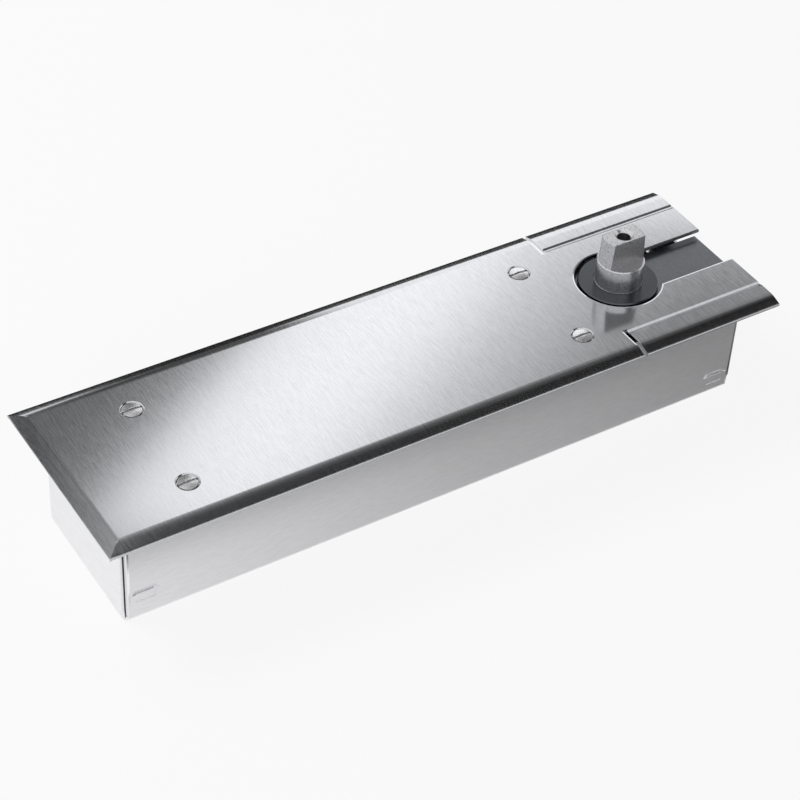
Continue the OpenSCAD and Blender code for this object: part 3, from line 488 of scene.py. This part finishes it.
class CLOSER_OT_cover(bpy.types.Operator):
    """Build the cover plate from a flat sheet with three rolled edges"""

    bl_idname = "closer.cover"
    bl_label = "Cover plate"

    def execute(self, context):
        s = context.scene.closer_cover
        low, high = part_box("cover_plate")
        top, under = high.z, low.z - COVER_PAST
        begin()
        bpy.ops.mesh.primitive_plane_add(
            size=1, location=((low.x + high.x) / 2, (low.y + high.y) / 2, top))
        bpy.context.object.scale = (high.x - low.x, high.y - low.y, 1)
        sheet = settle("cover_sheet")
        self.roll_edges(sheet, low, high, s.edge_drop)
        modify(sheet, "SOLIDIFY", thickness=s.thickness, offset=-1, use_even_offset=True)

        # Round opening at the spindle, and the slot from it to the end
        broken = s.opening_radius + s.edge_broken
        cut(sheet, turned("opening_cutter", [
            (s.opening_radius, under), (s.opening_radius, top - s.edge_broken * EDGE_SLOPE),
            (broken, top), (broken, top + COVER_PAST)], segments=96))
        end = high.x + RIM_PAST
        cut(sheet, self.slot_cutter(
            (0, -s.slot_width / 2, under), (end, s.slot_width / 2, top), s.edge_broken))
        # Slit and groove of each snap-off strip
        groove_y = (high.y - low.y) / 2 - s.strip_width
        for side in (-1, 1):
            inner, outer = side * (groove_y - s.groove_width / 2), side * (high.y + RIM_PAST)
            cut(sheet, self.slot_cutter(
                (-s.strip_start - s.slit_width / 2, min(inner, outer), under),
                (-s.strip_start + s.slit_width / 2, max(inner, outer), top), s.edge_broken))
            cut(sheet, self.groove_cutter(s, side * groove_y, end, top))
        for spot in screw_spots():
            cut(sheet, turned("dimple_cutter", self.dimple(context, top, under), spot, 48))
        smooth(sheet, 12)
        dress(sheet, "closer", "stainless_cover", "cover_plate")
        return {"FINISHED"}

    def roll_edges(self, sheet, low, high, drop):
        """Bends the far end's, the front and the back edge down, with mitred corners"""
        def inset(co):
            return min(co.x - low.x, co.y - low.y, high.y - co.y)

        for distance, _ in EDGE_ROLL[:-1]:
            d = distance * MM
            for place, normal in (
                ((low.x + d, 0, high.z), (1, 0, 0)),
                ((0, low.y + d, high.z), (0, 1, 0)),
                ((0, high.y - d, high.z), (0, 1, 0)),
            ):
                edit(sheet)
                bpy.ops.mesh.bisect(plane_co=place, plane_no=normal)
        for side, corner in ((-1, low.y), (1, high.y)):
            edit(sheet)
            bpy.ops.mesh.bisect(plane_co=(low.x, corner, high.z), plane_no=(1, side, 0))
        leave()
        for (_, share), (distance, next_share) in zip(EDGE_ROLL, EDGE_ROLL[1:]):
            edit(sheet, "VERT", lambda co: inset(co) < distance * MM + HAIR)
            bpy.ops.transform.translate(value=(0, 0, -(next_share - share) * drop))
        leave()

    def slot_cutter(self, low, high, burr):
        """Upright cutter up to the sheet's top face, which leaves its edges there broken"""
        depth = burr * EDGE_SLOPE
        cutter = block("slot_cutter", low, (high[0], high[1], high[2] - depth))
        edit(cutter, "FACE", lambda centre, normal: normal.z > 0.9)
        centre = ((low[0] + high[0]) / 2, (low[1] + high[1]) / 2, high[2])
        bpy.ops.mesh.extrude_region_move(TRANSFORM_OT_translate={"value": (0, 0, depth)})
        bpy.ops.transform.resize(
            value=(1 + 2 * burr / (high[0] - low[0]), 1 + 2 * burr / (high[1] - low[1]), 1),
            center_override=centre)
        bpy.ops.mesh.extrude_region_move(TRANSFORM_OT_translate={"value": (0, 0, COVER_PAST)})
        leave()
        return cutter

    def groove_cutter(self, s, y, end, top):
        """V-groove with a flat bottom, a quarter as wide as its mouth"""
        mouth, over = 4, 0.002
        half = s.groove_width / mouth / 2
        cutter = block(
            "groove_cutter", (-s.strip_start, y - half, top - s.groove_depth), (end, y + half, top))
        edit(cutter, "FACE", lambda centre, normal: normal.z > 0.9)
        bpy.ops.transform.resize(value=(1, mouth, 1), center_override=(0, y, top))
        bpy.ops.mesh.extrude_region_move(TRANSFORM_OT_translate={"value": (0, 0, over)})
        leave()
        return cutter

    def dimple(self, context, top, under):
        """Outline of a screw's hole: the shank's hole, the moat round the head, and the pressed
        dimple, rolled out softly to the sheet"""
        s = context.scene.closer_cover
        screws = context.scene.closer_screws
        rim = top - s.dimple_depth
        sink = screws.head_radius - screws.shank_radius
        hole = screws.shank_radius + SHANK_CLEARANCE
        moat = screws.head_radius + MOAT_WIDTH
        outline = [
            (hole, under), (hole, rim - sink - MOAT_DEPTH), (moat, rim - MOAT_DEPTH),
            (moat + HAIR, rim)]
        # The last ring of the roll ends just over the sheet, so that no faces coincide
        steps, over_sheet, widening = 6, 1e-6, 0.001
        for i in range(1, steps + 1):
            t = i / steps
            outline.append((
                moat + t * (s.dimple_radius - moat),
                rim + (3 * t * t - 2 * t * t * t) * (s.dimple_depth + over_sheet)))
        outline.append((s.dimple_radius + widening, top + COVER_PAST))
        return outline


class CLOSER_OT_box(bpy.types.Operator):
    """Open the folded box's corner seams and trim its floor at the corners"""

    bl_idname = "closer.box"
    bl_label = "Cement box"

    def execute(self, context):
        s = context.scene.closer_box
        low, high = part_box("cement_box")
        box = copy_of(frame["nodes"]["cement_box"], "box_sheet")
        edit(box)
        bpy.ops.mesh.remove_doubles(threshold=MERGE)
        bpy.ops.mesh.dissolve_limited(angle_limit=math.radians(0.5))
        bpy.ops.mesh.normals_make_consistent(inside=False)
        leave()
        past = 0.001
        self.open_corners(s, box, low, high, past)
        # Gap between the front or back wall's end and the bend of the end wall's flange
        over_floor, through = 0.0035, 0.0036
        for wall in (low.y, high.y):
            cut(box, block(
                "gap_cutter",
                (high.x - s.gap_inset, wall - through, low.z + over_floor),
                (high.x - s.gap_inset + s.gap_width, wall + through, high.z + past)))
        # Slits of the clinches, open to the dark behind the wall
        first, last, deep, tall = 0.0015, 0.0115, 0.0014, 0.0007
        for x, inward, slit_z in (
            (low.x + s.clinch_inset, 1, s.clinch_far),
            (high.x - s.clinch_inset, -1, s.clinch_near),
        ):
            left, right = sorted((x + inward * first, x + inward * last))
            for wall in (low.y, high.y):
                cut(box, block(
                    "slit_cutter",
                    (left, wall - deep, slit_z), (right, wall + deep, slit_z + tall)))
        smooth(box, 25)
        dress(box, "closer", "zinc_sheet", "cement_box")
        return {"FINISHED"}

    def open_corners(self, s, box, low, high, past):
        """Trims the floor's corners back to the folds, and opens the seams at the far end"""
        outside, trim_top = 0.01, low.z + 0.006
        for x, inward in ((low.x, 1), (high.x, -1)):
            for y, along in ((low.y, 1), (high.y, -1)):
                cuts = [("corner_cutter", s.corner_trim * math.sqrt(0.5), outside, trim_top)]
                if x == low.x:
                    cuts.append(("seam_cutter", s.seam_depth, s.seam_width / 2, high.z + past))
                for name, reach, half, top in cuts:
                    cutter = block(name, (-outside, -half, low.z - past), (reach, half, top))
                    edit(cutter)
                    bpy.ops.transform.rotate(
                        value=-math.atan2(along, inward), orient_axis="Z",
                        center_override=(0, 0, 0))
                    bpy.ops.transform.translate(value=(x, y, 0))
                    leave()
                    cut(box, cutter)


class CLOSER_OT_cover_screws(bpy.types.Operator):
    """Build one slotted, domed cover screw and copy it to its four places"""

    bl_idname = "closer.cover_screws"
    bl_label = "Cover screws"

    def execute(self, context):
        s = context.scene.closer_screws
        low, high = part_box("cover_screws")
        rim = high.z - s.dome
        rim_wall, rim_in, rim_down, tip = 0.0003, 0.00006, 0.00008, 0.0005
        first_spot, *other_spots = screw_spots()
        x, y = first_spot
        sink = s.head_radius - s.shank_radius
        profile = [
            (s.shank_radius - tip, low.z), (s.shank_radius, low.z + tip),
            (s.shank_radius, rim - rim_wall - sink), (s.head_radius, rim - rim_wall),
            (s.head_radius, rim - rim_down)]
        sphere = (s.head_radius ** 2 + s.dome ** 2) / (2 * s.dome)
        steps = 8
        for i in range(steps):
            angle = math.asin(s.head_radius / sphere) * (1 - i / steps)
            # The first ring is drawn in, so that the rim is rounded
            drawn = rim_in if i == 0 else 0
            profile.append((
                sphere * math.sin(angle) - drawn,
                rim + s.dome - sphere * (1 - math.cos(angle)) + drawn))
        profile.append((HAIR, high.z))
        first = turned("cover_screw_1", profile, first_spot, 48)
        past = 0.01
        cut(first, block(
            "slot_cutter",
            (x - past, y - s.slot_width / 2, rim - s.slot_depth),
            (x + past, y + s.slot_width / 2, rim + past)))
        modify(
            first, "BEVEL", width=0.0001, segments=2, limit_method="ANGLE",
            angle_limit=math.radians(50))
        smooth(first, 35)
        made = [first]
        for number, (other_x, other_y) in enumerate(other_spots, 2):
            twin = copy_of(first, f"cover_screw_{number}")
            edit(twin)
            bpy.ops.transform.translate(value=(other_x - x, other_y - y, 0))
            leave()
            made.append(twin)
        for screw in made:
            dress(screw, "closer", "bright_screw", "cover_screws")
        return {"FINISHED"}


class CLOSER_OT_spindle(bpy.types.Operator):
    """Build the spindle with its round neck, flat conical head and threaded hole"""

    bl_idname = "closer.spindle"
    bl_label = "Spindle"

    def execute(self, context):
        s = context.scene.closer_spindle
        low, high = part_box("spindle")
        body = turned("spindle_body", self.outline(s, low, high), segments=96)
        cam_low, cam_high = (corner.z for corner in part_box("cam"))
        # Keyway for the cam
        key_floor, key_half, key_past = 0.0065, 0.0025, 0.012
        cut(body, block(
            "key_cutter", (key_floor, -key_half, cam_low), (key_past, key_half, cam_high)))
        # Two flats on the head's cone
        flat, outside, over = s.head_flats / 2, 0.02, high.z + 0.002
        for side in (-1, 1):
            near, far = sorted((side * flat, side * outside))
            cut(body, block(
                "flat_cutter", (-outside, near, s.neck_top), (outside, far, over)))

        # Threaded hole, with a drill's point under it and a countersink
        point_radius, point_deep = 0.0002, 0.0015
        hole_low = high.z - s.hole_depth
        sink = s.sink_radius - s.hole_radius
        cut(body, turned("hole_cutter", [
            (point_radius, hole_low - point_deep), (s.hole_radius, hole_low),
            (s.hole_radius, high.z - sink), (s.sink_radius, high.z), (s.sink_radius, over)]))

        margin, upright = 0.0003, 0.001

        def forged(a, b):
            """The top's rim, apart from the countersink, and the upright edges of the flats"""
            both_top = min(a.z, b.z) > high.z - HAIR
            at_rim = min(math.hypot(a.x, a.y), math.hypot(b.x, b.y)) > s.sink_radius + margin
            on_flat = min(abs(a.y), abs(b.y)) > flat - HAIR and abs(a.z - b.z) > upright
            return both_top and at_rim or on_flat

        edit(body, "EDGE", forged)
        bpy.ops.mesh.bevel(offset=s.forge_round, segments=3)
        leave()
        smooth(body, 30)
        dress(body, "spindle_unit", "spindle_steel", "spindle")
        return {"FINISHED"}

    def outline(self, s, low, high):
        """Rings of the turned spindle, from its foot in the lower bearing up to its head"""
        cover_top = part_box("cover_plate")[1].z
        cam_low, cam_high = (corner.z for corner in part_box("cam"))
        ring_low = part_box("retaining_ring")[0].z
        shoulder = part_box("thrust_washer")[1].z + 0.0001
        neck_low = 0.041
        journal, shaft, step = 0.008, 0.009, 0.0102
        ring_groove = shaft - 0.0007
        foot_bevel, neck_bevel = 0.0005, 0.0004
        neck_wide = s.neck_radius + 0.0002
        return [
            (journal - foot_bevel, low.z), (journal, low.z + foot_bevel), (journal, shoulder),
            (shaft, shoulder + HAIR), (shaft, ring_low), (ring_groove, ring_low + HAIR),
            (ring_groove, cam_low - HAIR), (shaft, cam_low), (shaft, cam_high),
            (step, cam_high + HAIR), (step, neck_low), (neck_wide, neck_low + HAIR),
            (neck_wide, cover_top - HAIR), (s.neck_radius, cover_top),
            (s.neck_radius, s.neck_top - neck_bevel), (s.neck_radius - neck_bevel, s.neck_top),
            (s.head_radius_low, s.neck_top + HAIR), (s.head_radius_top, high.z)]


class CLOSER_OT_spring(bpy.types.Operator):
    """Part the closing spring at its middle into two halves"""

    bl_idname = "closer.spring"
    bl_label = "Closing spring"

    def execute(self, context):
        low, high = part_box("closing_spring")
        middle = (low.x + high.x) / 2
        # The seat of each half is one end turn in from its end, and it tells which side of the
        # middle that half keeps
        end_turn = 0.008
        # Both copies are made first, because the node is hidden once a piece stands for it
        spring = frame["nodes"]["closing_spring"]
        piston_half = copy_of(spring, "spring_piston_half")
        plate_half = copy_of(spring, "spring_plate_half")
        for half, body, seat in (
            (piston_half, "piston_unit", high.x - end_turn),
            (plate_half, "force_plate", low.x + end_turn),
        ):
            half.parent = None
            edit(half)
            bpy.ops.mesh.remove_doubles(threshold=MERGE)
            bpy.ops.mesh.select_all(action="SELECT")
            bpy.ops.mesh.bisect(
                plane_co=(middle, 0, 0), plane_no=(1, 0, 0), use_fill=True,
                clear_inner=seat > middle, clear_outer=seat < middle)
            bpy.ops.mesh.select_all(action="SELECT")
            bpy.ops.mesh.normals_make_consistent(inside=False)
            leave()
            smooth(half, 35)
            paint(half, MATERIALS["spring_steel"])
            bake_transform(half)
            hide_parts("closing_spring")
        return {"FINISHED"}


# Stage


def area_lamp(name, place, aim, size, power):
    """Lamp that lights without being mirrored"""
    data = bpy.data.lights.new(name, "AREA")
    data.shape = "RECTANGLE"
    data.size, data.size_y = size
    data.energy = power
    lamp = bpy.data.objects.new(name, data)
    lamp.location = place
    lamp.rotation_euler = (Vector(aim) - Vector(place)).to_track_quat("-Z", "Y").to_euler()
    lamp.visible_glossy = False
    bpy.context.scene.collection.objects.link(lamp)


def seen(tree):
    """1 for rays from the camera, and for mirror and see-through rays, and otherwise 0"""
    path = add(tree, "ShaderNodeLightPath")
    some = add(
        tree, "ShaderNodeMath",
        {0: path.outputs["Is Camera Ray"], 1: path.outputs["Is Glossy Ray"]}, operation="MAXIMUM")
    every = add(
        tree, "ShaderNodeMath",
        {0: some.outputs[0], 1: path.outputs["Is Transmission Ray"]}, operation="MAXIMUM")
    return every.outputs[0]


class CLOSER_OT_stage(bpy.types.Operator):
    """Set up the floor, the studio light and the camera"""

    bl_idname = "closer.stage"
    bl_label = "Stage"

    def execute(self, context):
        scene = context.scene
        # Floor: white where it is seen, with a seventh of its brightness left to the light, so that
        # it keeps the object's shadow
        begin()
        bpy.ops.mesh.primitive_plane_add(size=8, location=(0, 0, -0.0002))
        floor = settle("floor")
        material, tree = new_tree("floor_paper")
        share = add(tree, "ShaderNodeMath", {0: seen(tree)}, operation="MULTIPLY")
        share.inputs[1].default_value = 0.86
        matt = add(tree, "ShaderNodeBsdfDiffuse", Color=srgb("#ececec"))
        white = add(tree, "ShaderNodeEmission", Strength=1.0)
        mix = add(tree, "ShaderNodeMixShader", {
            0: share.outputs[0], 1: matt.outputs["BSDF"], 2: white.outputs["Emission"]})
        add(tree, "ShaderNodeOutputMaterial", {"Surface": mix.outputs["Shader"]})
        floor.data.materials.append(material)

        world = scene.world or bpy.data.worlds.new("studio")
        scene.world = world
        world.use_nodes = True
        tree = world.node_tree
        tree.nodes.clear()
        dim = add(tree, "ShaderNodeBackground", Color=srgb("#ffffff"), Strength=0.45)
        white = add(tree, "ShaderNodeBackground", Color=srgb("#ffffff"), Strength=1.0)
        mix = add(tree, "ShaderNodeMixShader", {
            0: seen(tree), 1: dim.outputs[0], 2: white.outputs[0]})
        add(tree, "ShaderNodeOutputWorld", {"Surface": mix.outputs["Shader"]})

        # Diffusion screen behind the object, lit in a slanting band that the cover mirrors
        centre = Vector((-0.12, 0, 0.06))
        towards = Vector((0.4142, 0.6377, 0.6494))
        upward = Vector((-0.3537, -0.5446, 0.7604))
        distance = 1.5
        middle = centre + towards * distance
        across = Vector((0.8387, -0.5446, 0))
        along_x, along_y = Vector((1, 0, 0)), Vector((0, 1, 0))
        slant = math.radians(38)
        self.card(
            "screen", middle + across * 0.35 - upward * 0.47, across, (1.9, 1.36), (
                (-1.3, 0.16), (-0.23, 0.18), (-0.16, 0.3), (-0.13, 1.5), (-0.005, 1.5),
                (0.06, 0.95), (0.12, 0.68), (0.2, 0.32), (1.3, 0.26)),
            upward, across * math.cos(slant) + upward * math.sin(slant), middle)
        self.card(
            "screen_low", middle + across * 0.28 - upward * 0.66 - towards * 0.02, across,
            (1.56, 0.98), ((-0.45, 0.06), (-0.11, 0.1), (-0.04, 1.3), (1.4, 1.5)),
            upward, across * 0.954 - upward * 0.3, middle)
        # Dark strip at the horizon behind the object
        self.card(
            "horizon", (0.3, 0.9, 0.12), Vector((0.94, -0.34, 0)), (1.8, 0.24),
            ((-0.9, 0.02), (0.9, 0.02)), Vector((0, 0, 1)))
        # Grey card to the front right, which the spindle's flat sees by way of the cover
        self.card(
            "front_card", (0.99, -1.18, 1.19), Vector((0.761, 0.649, 0)), (1.2, 0.9),
            ((-0.6, 0.1), (0.6, 0.1)), Vector((-0.3855, 0.452, 0.804)))
        # Graded ceiling over the back half, and a softbox over the front
        self.card("ceiling", (1.65, 1.45, 2.2), along_x, (2.7, 3.1), (
            (-1.6, 0.02), (-0.1, 0.02), (0.14, 0.08), (0.5, 0.13), (0.9, 0.26), (1.35, 0.5),
            (2.6, 0.5)), line=Vector((-0.33, 0.944, 0)), origin=(0, 0, 2.2))
        self.card("ceiling_left", (-0.4, 1.95, 2.19), along_y, (0.9, 1.4), (
            (-0.45, 0.6), (-0.2, 0.5), (0.15, 0.06), (0.45, 0.03)))
        self.card("softbox", (0.2, -1.1, 2.18), along_y, (2.5, 3.4), (
            (-1.25, 1.0), (1.05, 1.0), (1.13, 0.03), (1.25, 0.03)))
        # Dark cards on the floor that only reflections see: painted floor shadow before the front
        # wall, darker towards the right end and darker further out from the wall, where the
        # overhang's shadow falls, and painted shadow on the floor at the spindle end
        self.card("painted_floor_shadow", (0.0, -0.24, 0.0002), along_x, (0.72, 0.4), (
            (-0.36, 0.9), (-0.26, 0.75), (-0.1, 0.45), (0.05, 0.28), (0.36, 0.28)))
        self.card("painted_overhang_shadow", (0.0, -0.29, 0.0004), along_x, (0.72, 0.43), (
            (-0.36, 0.45), (-0.2, 0.35), (0, 0.22), (0.36, 0.2)))
        self.card("painted_end_shadow", (0.085, 0.006, 0.0003), along_x, (0.06, 0.108), (
            (-0.03, 0.08), (0.03, 0.12)))
        area_lamp("key", (-0.9, 0.9, 1.5), (-0.12, 0, 0.05), (1.0, 0.8), 14)
        area_lamp("fill", (-1.2, -1.6, 1.0), (-0.12, 0, 0.03), (1.0, 0.7), 5)

        # Camera fitted to the corners of the plate and the box in the photograph
        camera = bpy.data.cameras.new("camera")
        camera.lens, camera.sensor_width = 102.258, 36
        camera.clip_start, camera.clip_end = 0.05, 40
        holder = bpy.data.objects.new("camera", camera)
        scene.collection.objects.link(holder)
        place = Vector((-0.5802, -0.67885, 0.74652))
        right = Vector((0.85095839, -0.52328268, 0.04522231))
        up = Vector((0.31578346, 0.57851823, 0.75206214))
        turn = Matrix((right, up, right.cross(up))).transposed()
        holder.matrix_world = Matrix.Translation(place) @ turn.to_4x4()
        scene.camera = holder
        scene.view_settings.view_transform = "Standard"
        return {"FINISHED"}

    def card(self, name, place, wide, size, stops, high=None, line=None, origin=None):
        """Card that only reflections see, sized along wide and across it, with its brightness in
        stops along a line through origin"""
        line = line or wide
        high = high or Vector((-wide.y, wide.x, 0))
        if not abs(wide.dot(high)) < 1e-3:
            raise ValueError(f"{name}: its two directions aren't square to each other")
        begin()
        bpy.ops.mesh.primitive_plane_add(size=1)
        card = bpy.context.object
        turn = Matrix((wide.normalized(), high.normalized(), wide.cross(high).normalized()))
        card.matrix_world = (
            Matrix.Translation(Vector(place)) @ turn.transposed().to_4x4()
            @ Matrix.Diagonal((size[0], size[1], 1, 1)))
        settle(name)
        material, tree = new_tree(name + "_face")
        spot = add(tree, "ShaderNodeTexCoord")
        along = add(
            tree, "ShaderNodeVectorMath", {0: spot.outputs["Object"]}, operation="DOT_PRODUCT")
        along.inputs[1].default_value = line
        first, last = stops[0][0], stops[-1][0]
        offset = Vector(origin or place).dot(line)
        reach = add(tree, "ShaderNodeMapRange", {"Value": along.outputs["Value"]})
        reach.inputs["From Min"].default_value = offset + first
        reach.inputs["From Max"].default_value = offset + last
        ramp = add(tree, "ShaderNodeValToRGB", {"Fac": reach.outputs["Result"]})
        bright = max(level for _, level in stops)
        elements = ramp.color_ramp.elements
        for _ in stops[2:]:
            elements.new(0.5)
        for element, (distance, level) in zip(elements, stops):
            element.position = (distance - first) / (last - first)
            element.color = (level / bright,) * 3 + (1,)
        glow = add(tree, "ShaderNodeEmission", {"Color": ramp.outputs["Color"]}, Strength=bright)
        add(tree, "ShaderNodeOutputMaterial", {"Surface": glow.outputs["Emission"]})
        card.data.materials.append(material)
        card.visible_camera = False
        card.visible_diffuse = False
        card.visible_shadow = False


# Panel and registration

OPERATORS = [
    CLOSER_OT_materials,
    CLOSER_OT_cover,
    CLOSER_OT_box,
    CLOSER_OT_cover_screws,
    CLOSER_OT_spindle,
    CLOSER_OT_spring,
    CLOSER_OT_stage,
]


class CLOSER_PT_panel(bpy.types.Panel):
    """Steps that build the closer"""

    bl_idname = "CLOSER_PT_panel"
    bl_label = "Door closer"
    bl_space_type = "VIEW_3D"
    bl_region_type = "UI"
    bl_category = "Closer"

    def draw(self, context):
        for operator in OPERATORS:
            self.layout.operator(operator.bl_idname)


def register():
    for settings in SETTINGS.values():
        bpy.utils.register_class(settings)
    for name, settings in SETTINGS.items():
        setattr(bpy.types.Scene, name, bpy.props.PointerProperty(type=settings))
    for operator in OPERATORS:
        bpy.utils.register_class(operator)
    bpy.utils.register_class(CLOSER_PT_panel)


def unregister():
    bpy.utils.unregister_class(CLOSER_PT_panel)
    for operator in reversed(OPERATORS):
        bpy.utils.unregister_class(operator)
    for name, settings in SETTINGS.items():
        delattr(bpy.types.Scene, name)
        bpy.utils.unregister_class(settings)


def main():
    register()
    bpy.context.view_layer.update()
    bpy.ops.closer.materials()
    bpy.ops.closer.cover()
    bpy.ops.closer.box()
    bpy.ops.closer.cover_screws()
    bpy.ops.closer.spindle()
    bpy.ops.closer.spring()
    bpy.ops.closer.stage()


if __name__ == "__main__":
    main()
